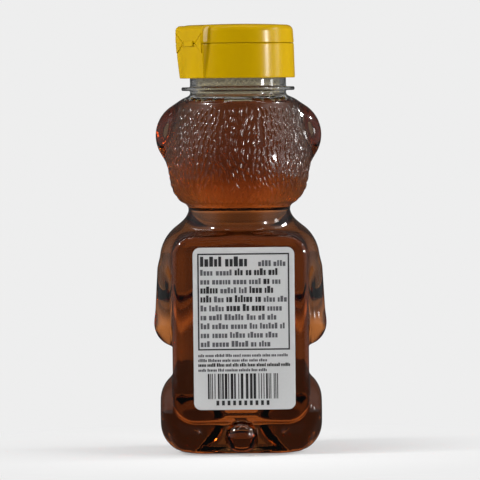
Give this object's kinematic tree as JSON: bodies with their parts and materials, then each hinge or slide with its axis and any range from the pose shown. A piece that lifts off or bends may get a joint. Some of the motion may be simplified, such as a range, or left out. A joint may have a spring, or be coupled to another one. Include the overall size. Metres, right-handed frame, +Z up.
{
  "type": "honey bear squeeze bottle",
  "caption": "Clear squeeze bottle shaped like a sitting bear, filled with amber honey, with a label on its flat back and a screw cap with a hinged flip lid.",
  "frame": {"origin": "on the neck's axis, on the surface the bottle stands on", "axes": "+Z up along the neck, +Y the way the bear faces, so the label faces -Y, and +X to the bear's right"},
  "size_m": [0.0622, 0.0532, 0.1551],
  "materials": {
    "clear_bottle": "clear blown plastic",
    "honey": "clear dark amber liquid",
    "label_film": "silver-grey printed film",
    "liner": "white foam",
    "cap_plastic": "glossy yellow moulding"
  },
  "bodies": {
    "bottle": {"bottle": "clear_bottle", "honey": "honey", "back_label": "label_film"},
    "liner": {"cap_liner": "liner"},
    "cap": {"cap_base": "cap_plastic", "hinge_wings": "cap_plastic", "hinge_film": "cap_plastic"},
    "lid": {"flip_lid": "cap_plastic"}
  },
  "joints": [
    {"name": "cap_rise", "type": "slide", "parent": "bottle", "child": "liner", "axis": [0, 0, 1], "range_m": [0, 0.0053]},
    {"name": "cap_turn", "type": "hinge", "parent": "liner", "child": "cap", "pos_m": [0, 0, 0.1417], "axis": [0, 0, 1], "range_deg": [0, 450]},
    {"name": "lid_flip", "type": "hinge", "parent": "cap", "child": "lid", "pos_m": [-0.01793, -0.01035, 0.148], "axis": [0.5, -0.866, 0], "range_deg": [0, 165], "deforming": ["hinge_film", "hinge_wings"]}
  ],
  "couplings": [
    {"joint": "cap_rise", "follows": "cap_turn", "m_per_rad": 0.00067371}
  ]
}
